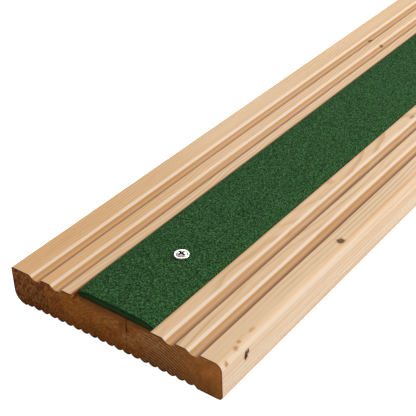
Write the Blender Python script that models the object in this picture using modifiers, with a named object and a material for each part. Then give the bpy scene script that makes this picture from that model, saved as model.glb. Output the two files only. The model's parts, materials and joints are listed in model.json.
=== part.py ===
"""Anti-slip decking board, for Blender 4.5.

A grooved softwood deck board with a reeded underside. A shallow rebate along its middle holds a
glass-reinforced strip with a bonded grit topcoat, held down by raised-head wood screws in cup
washers. The board's length runs along Y, its width along X, and it rests on Z = 0.
"""

import math

import bmesh
import bpy
from mathutils import Matrix

# Driving dimensions, in metres.

# Deck board
BOARD_LENGTH = 0.900
BOARD_WIDTH = 0.145
BOARD_THICKNESS = 0.024
INNER_LAND_WIDTH = 0.0069  # flat land between the rebate and the nearest groove
LAND_WIDTH = 0.0057  # flat land between two grooves
GROOVE_WIDTH = 0.0096
GROOVE_DEPTH = 0.0024
SHOULDER_WIDTH = 0.0040  # long, rounded way down into a groove
RISER_WIDTH = 0.0011  # short, steep way back up to the next land
MIN_OUTER_LAND = 0.0090  # narrowest land left along a long edge
TOP_LEFT_RADIUS = 0.0012
TOP_RIGHT_RADIUS = 0.0045
BOTTOM_LEFT_RADIUS = 0.0075
BOTTOM_RIGHT_RADIUS = 0.0030
SIDE_DRAFT = 0.0006  # each side face leans in by this much towards the underside

# Reeded underside
RIB_PITCH = 0.00593
RIB_HEIGHT = 0.0016
RIB_RECESS = 0.0004  # rib crests stand this much above the flat pads
LEFT_PAD = 0.0082
RIGHT_PAD = 0.0180

# Rebate and strip
REBATE_DEPTH = 0.0026
REBATE_OFFSET = 0.0002  # rebate's centre line from the board's
STRIP_WIDTH = 0.0540
STRIP_SIDE_CLEARANCE = 0.0004
STRIP_END_SETBACK = 0.0040
STRIP_BEVEL_WIDTH = 0.0090
STRIP_CORNER_RADIUS = 0.0030
LAMINATE_THICKNESS = 0.0031
LAMINATE_EDGE = 0.0016
GRIT_THICKNESS = 0.0014
GRIT_EDGE = 0.0008

# Screws and cup washers
SCREW_COUNT = 3
SCREW_END_DISTANCE = 0.0586  # from a board end to the first screw
SCREW_LINE_OFFSET = 0.0028  # the row of screws from the strip's centre line
TIP_COVER = 0.0022  # wood left between the tip and the deepest part of the reeding
SCREW_DIAMETER = 0.0035
SCREW_CORE_DIAMETER = 0.0024
HEAD_DIAMETER = 0.0064
HEAD_RIM_HEIGHT = 0.0002
HEAD_DOME_HEIGHT = 0.0006
THREAD_PITCH = 0.0016
PLAIN_SHANK = 0.0015  # between the head's cone and the first ring of thread
TIP_LENGTH = 0.0030
RECESS_SPAN = 0.0042
RECESS_ARM_WIDTH = 0.0010
RECESS_DEPTH = 0.0015
RECESS_TURNS = (1.08, 0.30, 0.62)  # radians, one for each screw in turn
WASHER_FLANGE = 0.0012  # height of the rim that stands on the strip
WASHER_RIM_WIDTH = 0.0009  # flat of the rim, outside the mouth
WASHER_MOUTH_DIAMETER = 0.0072
WASHER_WALL = 0.0006  # of the collar, where it is thinnest
WASHER_BORE_HEIGHT = 0.00015  # straight bore below the conical seat
RIM_ROUNDING = 0.8  # radius of the rim's outer edge, as a share of its smaller side

# Fits
CONTACT_GAP = 0.0003  # between two pieces that touch
STRIP_HOLE_CLEARANCE = 0.0005  # round the thread and the washer's collar, through the strip
PILOT_CLEARANCE = 0.0003  # round the thread, and below its tip

# Sampling of round shapes
ROUND_STEPS = 6
RIB_STEPS = 6
GROOVE_STEPS = 8
TURN_STEPS = 24

# Worked out from the dimensions above
REBATE_WIDTH = STRIP_WIDTH + 2 * STRIP_SIDE_CLEARANCE
REBATE_FLOOR = BOARD_THICKNESS - REBATE_DEPTH
LAMINATE_BASE = REBATE_FLOOR + CONTACT_GAP
GRIT_BASE = LAMINATE_BASE + LAMINATE_THICKNESS + CONTACT_GAP
STRIP_TOP = GRIT_BASE + GRIT_THICKNESS
STRIP_LENGTH = BOARD_LENGTH - 2 * STRIP_END_SETBACK
WASHER_BASE = STRIP_TOP + CONTACT_GAP
# The screw's cone and the washer's seat both slope at 45 degrees, a contact gap apart.
SEAT_GAP = CONTACT_GAP * math.sqrt(2)
WASHER_TOP = WASHER_BASE + WASHER_FLANGE
WASHER_BORE_RADIUS = SCREW_DIAMETER / 2 + CONTACT_GAP
SEAT_DEPTH = WASHER_MOUTH_DIAMETER / 2 - WASHER_BORE_RADIUS
COLLAR_DEPTH = SEAT_DEPTH + WASHER_BORE_HEIGHT - WASHER_FLANGE
COLLAR_RADIUS = WASHER_BORE_RADIUS + SEAT_DEPTH - WASHER_FLANGE + WASHER_WALL
HEAD_RIM = WASHER_TOP + (HEAD_DIAMETER - WASHER_MOUTH_DIAMETER) / 2 + SEAT_GAP
SCREW_TIP = RIB_RECESS + RIB_HEIGHT + TIP_COVER
PILOT_RADIUS = SCREW_DIAMETER / 2 + PILOT_CLEARANCE
STRIP_HOLE_RADIUS = SCREW_DIAMETER / 2 + STRIP_HOLE_CLEARANCE
SCREW_LINE = REBATE_OFFSET + SCREW_LINE_OFFSET


def clear_scene():
    for thing in list(bpy.data.objects):
        bpy.data.objects.remove(thing)


def new_collection(name):
    collection = bpy.data.collections.new(name)
    bpy.context.scene.collection.children.link(collection)
    return collection


def new_material(name, colour, roughness, metallic=0.0):
    material = bpy.data.materials.new(name)
    material.use_nodes = True
    shader = material.node_tree.nodes["Principled BSDF"]
    shader.inputs["Base Color"].default_value = (*colour, 1.0)
    shader.inputs["Roughness"].default_value = roughness
    shader.inputs["Metallic"].default_value = metallic
    return material


def arc(centre, radius, start, end, steps=ROUND_STEPS):
    """Points on an arc, from one angle to another, in degrees."""
    points = []
    for step in range(steps + 1):
        angle = math.radians(start + (end - start) * step / steps)
        points.append((centre[0] + radius * math.cos(angle), centre[1] + radius * math.sin(angle)))
    return points


def extruded(name, outline, length, collection, along_y=True):
    """A flat outline pulled out to a length: along Y from an XZ outline, or along Z from XY."""
    curve = bpy.data.curves.new(name + "_outline", "CURVE")
    curve.dimensions = "2D"
    curve.fill_mode = "BOTH"
    curve.extrude = length / 2
    spline = curve.splines.new("POLY")
    spline.points.add(len(outline) - 1)
    for point, (across, up) in zip(spline.points, outline):
        point.co = (across, up, 0.0, 1.0)
    spline.use_cyclic_u = True
    drawn = bpy.data.objects.new(name + "_outline", curve)
    collection.objects.link(drawn)
    if along_y:
        drawn.rotation_euler.x = math.radians(90)
    bpy.context.view_layer.update()
    graph = bpy.context.evaluated_depsgraph_get()
    mesh = bpy.data.meshes.new_from_object(drawn.evaluated_get(graph))
    mesh.name = name
    place = drawn.matrix_world.copy()
    bpy.data.objects.remove(drawn)
    bpy.data.curves.remove(curve)

    work = bmesh.new()
    work.from_mesh(mesh)
    work.transform(place)
    bmesh.ops.remove_doubles(work, verts=work.verts, dist=1e-6)
    # Each end becomes one flat face, because a fan of thin triangles is hard to cut.
    along = 1 if along_y else 2
    for end in (-length / 2, length / 2):
        cap = [face for face in work.faces if all(abs(v.co[along] - end) < 1e-6 for v in face.verts)]
        bmesh.ops.dissolve_faces(work, faces=cap)
    bmesh.ops.recalc_face_normals(work, faces=work.faces)
    work.to_mesh(mesh)
    work.free()
    solid = bpy.data.objects.new(name, mesh)
    collection.objects.link(solid)
    return solid


def turned(name, profile, collection, material=None):
    """A solid of revolution about Z, from (radius, height) points that start and end on the axis
    or close on themselves, running down the outer side."""
    mesh = bpy.data.meshes.new(name)
    work = bmesh.new()
    points = [work.verts.new((radius, 0.0, height)) for radius, height in profile]
    for first, second in zip(points, points[1:]):
        work.edges.new((first, second))
    if profile[0][0] > 0.0:
        work.edges.new((points[-1], points[0]))
    work.to_mesh(mesh)
    work.free()
    solid = bpy.data.objects.new(name, mesh)
    collection.objects.link(solid)
    turn = solid.modifiers.new("turn", "SCREW")
    turn.axis = "Z"
    turn.steps = TURN_STEPS
    turn.render_steps = TURN_STEPS
    turn.use_merge_vertices = True
    turn.merge_threshold = 1e-5
    turn.use_smooth_shade = True
    if material is not None:
        mesh.materials.append(material)
    return solid


def hide_cutter(cutter):
    cutter.hide_render = True
    cutter.display_type = "WIRE"


def cut(solid, cutter, operation="DIFFERENCE"):
    hide_cutter(cutter)
    boolean = solid.modifiers.new(cutter.name, "BOOLEAN")
    boolean.operation = operation
    boolean.object = cutter


def groove_points(start):
    """One groove, from the land's end at start: rounded shoulder, flat floor, steep riser."""
    points = []
    for step in range(GROOVE_STEPS + 1):
        share = step / GROOVE_STEPS
        drop = GROOVE_DEPTH * (1 - math.cos(math.pi * share)) / 2
        points.append((start + SHOULDER_WIDTH * share, BOARD_THICKNESS - drop))
    riser_start = start + GROOVE_WIDTH - RISER_WIDTH
    riser_steps = GROOVE_STEPS // 2
    for step in range(riser_steps + 1):
        share = step / riser_steps
        drop = GROOVE_DEPTH * (1 + math.cos(math.pi * share)) / 2
        points.append((riser_start + RISER_WIDTH * share, BOARD_THICKNESS - drop))
    return points


def board_outline():
    """The board's section, anticlockwise from its lower left corner."""
    left = -BOARD_WIDTH / 2
    right = BOARD_WIDTH / 2
    top = BOARD_THICKNESS
    rebate_left = REBATE_OFFSET - REBATE_WIDTH / 2
    rebate_right = REBATE_OFFSET + REBATE_WIDTH / 2
    pattern_pitch = GROOVE_WIDTH + LAND_WIDTH
    side_width = BOARD_WIDTH / 2 - REBATE_WIDTH / 2 - abs(REBATE_OFFSET) - INNER_LAND_WIDTH
    groove_count = int((side_width - MIN_OUTER_LAND + LAND_WIDTH) / pattern_pitch)
    grooves_width = INNER_LAND_WIDTH + groove_count * pattern_pitch - LAND_WIDTH
    outer_land_left = rebate_left - left - grooves_width
    outer_land_right = right - rebate_right - grooves_width
    top_left = min(TOP_LEFT_RADIUS, 0.8 * outer_land_left)
    top_right = min(TOP_RIGHT_RADIUS, 0.8 * outer_land_right)

    foot_left = left + SIDE_DRAFT
    foot_right = right - SIDE_DRAFT
    points = arc(
        (foot_left + BOTTOM_LEFT_RADIUS, BOTTOM_LEFT_RADIUS), BOTTOM_LEFT_RADIUS, 180, 270
    )
    rib_count = int((BOARD_WIDTH - LEFT_PAD - RIGHT_PAD) / RIB_PITCH)
    half_chord = RIB_PITCH / 2
    rib_radius = (half_chord ** 2 + RIB_HEIGHT ** 2) / (2 * RIB_HEIGHT)
    half_angle = math.degrees(math.asin(half_chord / rib_radius))
    rib_foot = RIB_RECESS + RIB_HEIGHT
    points.append((left + LEFT_PAD, 0.0))
    for rib in range(rib_count):
        centre = (left + LEFT_PAD + (rib + 0.5) * RIB_PITCH, RIB_RECESS + rib_radius)
        crest = arc(centre, rib_radius, 270 - half_angle, 270 + half_angle, RIB_STEPS)
        points += crest if rib == 0 else crest[1:]
    points.append((left + LEFT_PAD + rib_count * RIB_PITCH + rib_foot, 0.0))

    points += arc(
        (foot_right - BOTTOM_RIGHT_RADIUS, BOTTOM_RIGHT_RADIUS), BOTTOM_RIGHT_RADIUS, 270, 360
    )
    points += arc((right - top_right, top - top_right), top_right, 0, 90)
    inner_right = rebate_right + INNER_LAND_WIDTH
    grooves_right = [inner_right + i * pattern_pitch for i in range(groove_count)]
    for start in reversed(grooves_right):
        points += reversed(groove_points(start))
    points.append((rebate_right, top))
    points.append((rebate_right, REBATE_FLOOR))
    points.append((rebate_left, REBATE_FLOOR))
    points.append((rebate_left, top))
    inner_left = rebate_left - INNER_LAND_WIDTH - GROOVE_WIDTH
    grooves_left = [inner_left - i * pattern_pitch for i in range(groove_count)]
    for start in grooves_left:
        points += reversed(groove_points(start))
    points += arc((left + top_left, top - top_left), top_left, 90, 180)
    return points


def layer_outline(base, thickness, edge_base, edge_thickness):
    """The section of one layer of the strip, flat in the middle and falling to thin long edges."""
    half = STRIP_WIDTH / 2
    flat = half - STRIP_BEVEL_WIDTH
    lower = [(-half, edge_base), (-flat, base), (flat, base), (half, edge_base)]
    upper = [
        (half, edge_base + edge_thickness),
        (flat, base + thickness),
        (-flat, base + thickness),
        (-half, edge_base + edge_thickness),
    ]
    if base == edge_base:
        lower = [lower[0], lower[-1]]
    return [(REBATE_OFFSET + across, up) for across, up in lower + upper]


def strip_plan():
    """The strip seen from above: a long rectangle with rounded corners."""
    radius = STRIP_CORNER_RADIUS
    far_x = STRIP_WIDTH / 2 - radius
    far_y = STRIP_LENGTH / 2 - radius
    points = []
    for corner, (side_x, side_y) in enumerate(((1, 1), (-1, 1), (-1, -1), (1, -1))):
        centre = (REBATE_OFFSET + side_x * far_x, side_y * far_y)
        points += arc(centre, radius, 90 * corner, 90 * corner + 90)
    return points


def screw_places():
    """Where each screw stands along the board."""
    span = BOARD_LENGTH - 2 * SCREW_END_DISTANCE
    return [span * (place / (SCREW_COUNT - 1) - 0.5) for place in range(SCREW_COUNT)]


def screw_profile():
    """Half of the screw's section, from the top of its head down to its tip."""
    head = HEAD_DIAMETER / 2
    core = SCREW_CORE_DIAMETER / 2
    crest = SCREW_DIAMETER / 2
    dome_radius = (head ** 2 + HEAD_DOME_HEIGHT ** 2) / (2 * HEAD_DOME_HEIGHT)
    dome_top = HEAD_RIM + HEAD_RIM_HEIGHT + HEAD_DOME_HEIGHT
    dome_angle = math.asin(head / dome_radius)
    points = []
    for step in range(ROUND_STEPS + 1):
        angle = dome_angle * step / ROUND_STEPS
        height = dome_top - dome_radius * (1 - math.cos(angle))
        points.append((dome_radius * math.sin(angle), height))
    points.append((head, HEAD_RIM))
    neck = HEAD_RIM - (head - core)
    points.append((core, neck))
    thread_end = SCREW_TIP + TIP_LENGTH
    ridges = int((neck - PLAIN_SHANK - thread_end) / THREAD_PITCH)
    for ridge in range(ridges, 0, -1):
        top = thread_end + ridge * THREAD_PITCH
        points.append((core, top))
        points.append((crest, top - THREAD_PITCH / 3))
        points.append((core, top - THREAD_PITCH * 2 / 3))
    points.append((core, thread_end))
    points.append((0.0, SCREW_TIP))
    return points


def washer_profile():
    """The washer's closed section: rim edge down, under the rim, round the collar, up the seat."""
    mouth = WASHER_MOUTH_DIAMETER / 2
    outer = mouth + WASHER_RIM_WIDTH
    edge = min(WASHER_FLANGE, WASHER_RIM_WIDTH) * RIM_ROUNDING
    collar_floor = WASHER_BASE - COLLAR_DEPTH
    points = [(mouth, WASHER_TOP)]
    points += arc((outer - edge, WASHER_TOP - edge), edge, 90, 0)
    points.append((outer, WASHER_BASE))
    points.append((COLLAR_RADIUS, WASHER_BASE))
    points.append((COLLAR_RADIUS, collar_floor))
    points.append((WASHER_BORE_RADIUS, collar_floor))
    points.append((WASHER_BORE_RADIUS, collar_floor + WASHER_BORE_HEIGHT))
    return points


def make_board(parts, cutters, material):
    board = extruded("deck_board", board_outline(), BOARD_LENGTH, parts)
    board.data.materials.append(material)
    pilot_floor = SCREW_TIP - PILOT_CLEARANCE
    pilot = [
        (0.0, BOARD_THICKNESS),
        (PILOT_RADIUS, BOARD_THICKNESS),
        (PILOT_RADIUS, SCREW_TIP + TIP_LENGTH),
        (PILOT_CLEARANCE, pilot_floor),
        (0.0, pilot_floor),
    ]
    for number, place in enumerate(screw_places(), start=1):
        cutter = turned(f"pilot_hole_{number}", pilot, cutters)
        cutter.location = (SCREW_LINE, place, 0.0)
        cut(board, cutter)


def make_strip(parts, cutters, laminate_material, grit_material):
    plan_height = 2 * STRIP_TOP
    plan = extruded("strip_plan", strip_plan(), plan_height, cutters, along_y=False)
    uncut_length = BOARD_LENGTH
    laminate = extruded(
        "strip_laminate",
        layer_outline(LAMINATE_BASE, LAMINATE_THICKNESS, LAMINATE_BASE, LAMINATE_EDGE),
        uncut_length,
        parts,
    )
    laminate.data.materials.append(laminate_material)
    grit_edge_base = LAMINATE_BASE + LAMINATE_EDGE + CONTACT_GAP
    grit = extruded(
        "grit_topcoat",
        layer_outline(GRIT_BASE, GRIT_THICKNESS, grit_edge_base, GRIT_EDGE),
        uncut_length,
        parts,
    )
    grit.data.materials.append(grit_material)
    # A wider step at the top of each hole takes the washer's collar.
    above = 2 * STRIP_TOP
    step_floor = WASHER_BASE - COLLAR_DEPTH - CONTACT_GAP
    step_radius = COLLAR_RADIUS + STRIP_HOLE_CLEARANCE
    hole = [
        (0.0, above),
        (step_radius, above),
        (step_radius, step_floor),
        (STRIP_HOLE_RADIUS, step_floor),
        (STRIP_HOLE_RADIUS, 0.0),
        (0.0, 0.0),
    ]
    for layer in (laminate, grit):
        cut(layer, plan, "INTERSECT")
    for number, place in enumerate(screw_places(), start=1):
        cutter = turned(f"strip_hole_{number}", hole, cutters)
        cutter.location = (SCREW_LINE, place, 0.0)
        for layer in (laminate, grit):
            cut(layer, cutter)


def cross_outline():
    """A cross with four equal arms, anticlockwise."""
    reach = RECESS_SPAN / 2
    half = RECESS_ARM_WIDTH / 2
    points = []
    for quarter in range(4):
        angle = math.radians(90 * quarter)
        for across, up in ((reach, -half), (reach, half), (half, half)):
            turned_x = across * math.cos(angle) - up * math.sin(angle)
            turned_y = across * math.sin(angle) + up * math.cos(angle)
            points.append((turned_x, turned_y))
    return points


def make_fixings(parts, cutters, material):
    recess_height = 2 * (RECESS_DEPTH + HEAD_DOME_HEIGHT)
    recess_floor = HEAD_RIM + HEAD_RIM_HEIGHT + HEAD_DOME_HEIGHT - RECESS_DEPTH
    for number, place in enumerate(screw_places(), start=1):
        washer = turned(f"cup_washer_{number}", washer_profile(), parts, material)
        washer.location = (SCREW_LINE, place, 0.0)
        screw = turned(f"screw_{number}", screw_profile(), parts, material)
        screw.location = (SCREW_LINE, place, 0.0)
        recess = extruded(
            f"cross_recess_{number}", cross_outline(), recess_height, cutters, along_y=False
        )
        turn = RECESS_TURNS[(number - 1) % len(RECESS_TURNS)]
        recess.matrix_world = Matrix.Translation(
            (SCREW_LINE, place, recess_floor + recess_height / 2)
        ) @ Matrix.Rotation(turn, 4, "Z")
        cut(screw, recess)


def main():
    clear_scene()
    parts = new_collection("anti_slip_decking_board")
    cutters = new_collection("cutters")
    softwood = new_material("softwood", (0.78, 0.55, 0.33), 0.62)
    green_laminate = new_material("green_laminate", (0.020, 0.060, 0.022), 0.45)
    green_grit = new_material("green_grit", (0.030, 0.110, 0.040), 0.85)
    stainless = new_material("stainless", (0.72, 0.71, 0.69), 0.28, 1.0)
    make_board(parts, cutters, softwood)
    make_strip(parts, cutters, green_laminate, green_grit)
    make_fixings(parts, cutters, stainless)


main()
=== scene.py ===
"""Looks for the anti-slip decking board: a reeded softwood board, a green grit strip let into its
top, and the turned washers and raised-head screws that hold the strip down."""

import json
import math

import bmesh
import bpy
from mathutils import Matrix, Vector

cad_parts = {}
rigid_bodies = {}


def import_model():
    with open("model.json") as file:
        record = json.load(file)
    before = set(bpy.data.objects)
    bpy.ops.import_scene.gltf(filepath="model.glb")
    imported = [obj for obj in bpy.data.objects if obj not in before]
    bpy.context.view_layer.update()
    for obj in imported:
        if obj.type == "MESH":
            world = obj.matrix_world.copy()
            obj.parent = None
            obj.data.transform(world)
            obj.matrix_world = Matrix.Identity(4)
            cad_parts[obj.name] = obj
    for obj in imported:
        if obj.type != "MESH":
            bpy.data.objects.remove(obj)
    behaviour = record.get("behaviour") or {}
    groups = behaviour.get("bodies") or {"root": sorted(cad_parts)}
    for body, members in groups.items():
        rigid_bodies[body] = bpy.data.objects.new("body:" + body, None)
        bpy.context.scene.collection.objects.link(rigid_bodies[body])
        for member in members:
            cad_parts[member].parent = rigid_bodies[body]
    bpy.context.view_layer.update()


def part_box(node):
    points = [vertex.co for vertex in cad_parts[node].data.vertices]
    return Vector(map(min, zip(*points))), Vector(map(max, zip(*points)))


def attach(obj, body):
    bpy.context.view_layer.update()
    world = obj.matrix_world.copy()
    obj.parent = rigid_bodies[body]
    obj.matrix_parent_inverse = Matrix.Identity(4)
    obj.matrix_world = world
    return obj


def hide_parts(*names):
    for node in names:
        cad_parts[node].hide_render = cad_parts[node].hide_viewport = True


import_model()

bl_info = {
    "name": "Anti-slip decking board",
    "version": (1, 0, 0),
    "blender": (4, 5, 0),
    "location": "3D Viewport > Sidebar > Decking",
    "description": "Models an anti-slip decking board round its packed parts",
    "category": "Object",
}

BOARD_LOW, BOARD_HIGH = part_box("deck_board")
LAMINATE_LOW, LAMINATE_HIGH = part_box("strip_laminate")
GRIT_LOW, GRIT_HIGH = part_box("grit_topcoat")
SCREW_NUMBERS = (1, 2, 3)
BOARD_WIDTH = BOARD_HIGH.x - BOARD_LOW.x
BOARD_TOP = BOARD_HIGH.z
STRIP_MIDDLE = (LAMINATE_LOW.x + LAMINATE_HIGH.x) / 2
STRIP_HALF = (LAMINATE_HIGH.x - LAMINATE_LOW.x) / 2
NEAR_END = BOARD_LOW.y
CRACK_X = 0.0113
CRACK_SKEW = 0.73
CRACK_FOOT = 0.0157
PITH_X = 0.019
PITH_DEPTH = 0.033
PITH_WANDER = 0.030
RING_WIDTH = 0.0019
STAIN_REACH = 0.006
TINY = 1e-5


# ---------------------------------------------------------------- sizes and colours

def length(name, description, default):
    return bpy.props.FloatProperty(
        name=name, description=description, default=default, unit="LENGTH")


def count(name, description, default):
    return bpy.props.IntProperty(name=name, description=description, default=default)


def colour(name, description, default):
    return bpy.props.FloatVectorProperty(
        name=name, description=description, default=default, subtype="COLOR")


class BoardSizes(bpy.types.PropertyGroup):
    groove_width: length("Groove width", "Width of one groove", 0.0096)
    groove_depth: length("Groove depth", "Depth of one groove", 0.0024)
    shoulder_width: length("Shoulder width", "Rounded way down into a groove", 0.0042)
    riser_width: length("Riser width", "Steep way back up to a land", 0.0011)
    inner_land: length("Inner land", "Land between the rebate and the nearest groove", 0.0069)
    land_width: length("Land width", "Land between two grooves", 0.0057)
    grooves_per_side: count("Grooves per side", "Grooves on each side of the strip", 2)
    rebate_depth: length("Rebate depth", "Depth of the rebate for the strip", 0.0026)
    rebate_clearance: length("Rebate clearance", "Gap along each side of the strip", 0.0004)
    rib_pitch: length("Rib pitch", "Spacing of the ribs underneath", 0.00593)
    rib_height: length("Rib height", "Height of one rib", 0.0016)
    rib_recess: length("Rib recess", "Rib crests above the flat pads", 0.0004)
    left_pad: length("Left pad", "Flat underside left of the ribs", 0.0082)
    rib_count: count("Ribs", "Number of ribs underneath", 20)
    relief: length("Grain relief", "Height of the raised grain", 0.00022)


class StripSizes(bpy.types.PropertyGroup):
    bevel_width: length("Bevel width", "Slope along each long edge", 0.0090)
    laminate_edge: length("Laminate edge", "Laminate thickness at its long edges", 0.0016)
    grit_edge: length("Grit edge", "Grit thickness at its long edges", 0.0008)
    grain_size: length("Grain size", "Size of the grit's grains", 0.0011)
    grain_height: length("Grain height", "How far the grains stand out", 0.00085)


class FixingSizes(bpy.types.PropertyGroup):
    bore: length("Washer bore", "Diameter of the washer's bore", 0.0041)
    mouth: length("Washer mouth", "Diameter of the washer's mouth", 0.0072)
    flange: length("Washer rim height", "Rim height above the strip", 0.0012)
    dome: length("Head dome", "Rise of the screw head", 0.0006)
    core: length("Screw core", "Diameter at the thread's root", 0.0024)
    thread: length("Screw thread", "Diameter over the thread", 0.0035)
    pitch: length("Thread pitch", "Rise of one turn", 0.0016)
    recess_span: length("Recess span", "Across the cross recess", 0.0050)
    recess_depth: length("Recess depth", "Depth of the cross recess", 0.0015)
    recess_arm: length("Recess arm", "Width of one arm of the cross", 0.00150)


class Finishes(bpy.types.PropertyGroup):
    land: colour("Softwood", "Planed softwood", (0.600, 0.425, 0.268))
    heartwood: colour("Heartwood", "Yellower wood on the left", (0.570, 0.355, 0.180))
    sapwood: colour("Sapwood", "Pale wood towards the right edge", (0.640, 0.490, 0.345))
    latewood: colour("Latewood", "Dark lines of the growth rings", (0.400, 0.225, 0.090))
    # Pale wood of a groove's shoulder with a painted highlight where the shoulder slopes towards
    # the key lamp.
    pale_shoulder_and_highlight: colour("Groove shoulder", "Burnished upper shoulder of a groove",
        (0.660, 0.570, 0.480))
    resin: colour("Resin", "Orange slope of a groove", (0.430, 0.225, 0.080))
    # Painted shadow that each riser casts on the groove floor at its foot.
    riser_painted_shadow: colour("Groove shade", "Darkened foot of a groove's riser", (0.225, 0.100, 0.042))
    # Painted shadow of the strip on the land along the rebate's left edge.
    strip_painted_shadow: colour("Bruised edge", "Brown line along the rebate", (0.280, 0.115, 0.050))
    # Groove floor tone, darkened with painted shade.
    groove_floor_and_shade: colour("Groove floor", "Duller floor of a groove", (0.470, 0.270, 0.135))
    end_grain: colour("End grain", "Stained end grain", (0.425, 0.135, 0.016))
    end_dark: colour("End grain, dark", "Darkest rings of the end grain", (0.155, 0.040, 0.004))
    end_pale: colour("End grain, pale", "Paler patches of the end grain", (0.490, 0.235, 0.080))
    knot: colour("Knot", "Knots and pin marks", (0.055, 0.018, 0.006))
    grit: colour("Grit", "Green grit", (0.020, 0.070, 0.020))
    grit_light: colour("Grit, light", "Palest grains", (0.060, 0.165, 0.058))
    laminate: colour("Laminate", "Green laminate", (0.009, 0.036, 0.010))
    steel: colour("Stainless steel", "Screws and washers", (0.830, 0.810, 0.790))
    side_wood: colour("Side", "Pale planed side of the board", (0.70, 0.62, 0.53))
    ring_line: colour("Ring line", "Dark ring in the sawn end", (0.070, 0.020, 0.005))
    spring_ring: colour("Spring ring", "Pale ring in the sawn end", (0.50, 0.26, 0.11))
    pore: colour("Pore", "Dark specks in the sawn end", (0.070, 0.015, 0.002))
    end_rim: colour("End rim", "Dark rim round the sawn end", (0.060, 0.016, 0.004))
    # Painted shade inside the narrow drying crack.
    crack: colour("Crack", "Inside of the drying crack", (0.020, 0.008, 0.004))
    # Painted shade in the gaps beside the strip and on the rebate floor under it.
    gap_painted_shade: colour("Rebate gap", "Dirt in the gap under the strip", (0.22, 0.085, 0.030))
    # End stain painted lighter, for the rebate floor where the strip's shadow falls.
    stain_with_painted_light: colour("Stained floor", "Stained rebate floor", (0.46, 0.175, 0.045))
    grit_base: colour("Grit, deep", "Resin between the grains", (0.014, 0.054, 0.015))
    grit_dark: colour("Grit, dark", "Darkest grains", (0.003, 0.015, 0.004))
    grit_fleck: colour("Grit fleck", "Bright stray grains", (0.15, 0.28, 0.15))
    laminate_light: colour("Laminate, light", "Paler laminate", (0.014, 0.050, 0.015))
    laminate_ply: colour("Laminate ply", "Glass plies in a cut edge", (0.024, 0.070, 0.024))
    steel_dull: colour("Stainless, dull", "Handled stainless steel", (0.66, 0.64, 0.61))
    # Dirt and painted shade in the cross recess and on the washer's seat.
    recess_dirt_and_shade: colour("Grime", "Dirt in the recess", (0.006, 0.004, 0.004))
    recess_dirt_and_shade_pale: colour("Grime, light", "Drier dirt in the recess", (0.022, 0.012, 0.009))


# ---------------------------------------------------------------- modelling helpers

def deselect_all():
    for thing in bpy.context.view_layer.objects:
        thing.select_set(False)


def make_active(piece):
    deselect_all()
    piece.select_set(True)
    bpy.context.view_layer.objects.active = piece


def edit(piece):
    make_active(piece)
    bpy.ops.object.mode_set(mode="EDIT")
    bpy.ops.mesh.select_mode(type="VERT")


def finish_edit():
    bpy.ops.object.mode_set(mode="OBJECT")


def add_block(name, low, high):
    """A box between two corners, in edit mode."""
    deselect_all()
    bpy.ops.mesh.primitive_cube_add(size=1.0, location=(low + high) / 2, scale=high - low)
    piece = bpy.context.object
    piece.name = name
    piece.data.name = name
    bpy.ops.object.transform_apply(location=True, rotation=True, scale=True)
    edit(piece)
    return piece


def pick(piece, kind, test):
    """Selects the vertices, edges or faces that pass a test, and nothing else."""
    bpy.ops.mesh.select_mode(type=kind)
    bpy.ops.mesh.select_all(action="DESELECT")
    work = bmesh.from_edit_mesh(piece.data)
    things = {"VERT": work.verts, "EDGE": work.edges, "FACE": work.faces}[kind]
    for thing in things:
        if test(thing):
            thing.select_set(True)
    work.select_flush_mode()
    bmesh.update_edit_mesh(piece.data)


def slice_at(places, axis):
    """Cuts the whole piece across an axis at each place."""
    normal = [0.0, 0.0, 0.0]
    normal[axis] = 1.0
    for place in places:
        point = [0.0, 0.0, 0.0]
        point[axis] = place
        bpy.ops.mesh.select_all(action="SELECT")
        bpy.ops.mesh.bisect(plane_co=point, plane_no=normal)


def lift(piece, test, height):
    """Moves the vertices that pass a test up by what height says at their X, one X at a time."""
    work = bmesh.from_edit_mesh(piece.data)
    stations = sorted({round(v.co.x, 6) for v in work.verts if test(v)})
    for station in stations:
        rise = height(station)
        if abs(rise) < TINY / 10:
            continue
        pick(piece, "VERT", lambda v: abs(v.co.x - station) < 2e-6 and test(v))
        bpy.ops.transform.translate(value=(0.0, 0.0, rise))


def apply_modifiers(piece):
    make_active(piece)
    for name in [modifier.name for modifier in piece.modifiers]:
        bpy.ops.object.modifier_apply(modifier=name)


def smooth_by_angle(piece, degrees):
    make_active(piece)
    bpy.ops.object.shade_smooth_by_angle(angle=math.radians(degrees))


def displace(piece, texture, strength, direction="NORMAL", group="", mid_level=0.5):
    relief = piece.modifiers.new("relief", "DISPLACE")
    relief.texture = texture
    relief.texture_coords = "LOCAL"
    relief.direction = direction
    relief.strength = strength
    relief.mid_level = mid_level
    relief.vertex_group = group
    apply_modifiers(piece)


def clouds(name, size, depth=2):
    texture = bpy.data.textures.new(name, "CLOUDS")
    texture.noise_scale = size
    texture.noise_depth = depth
    return texture


def hand_over(piece, material, node):
    if material.name not in piece.data.materials:
        piece.data.materials.clear()
        piece.data.materials.append(material)
    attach(piece, "root")
    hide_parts(node)


# ---------------------------------------------------------------- material helpers

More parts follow.
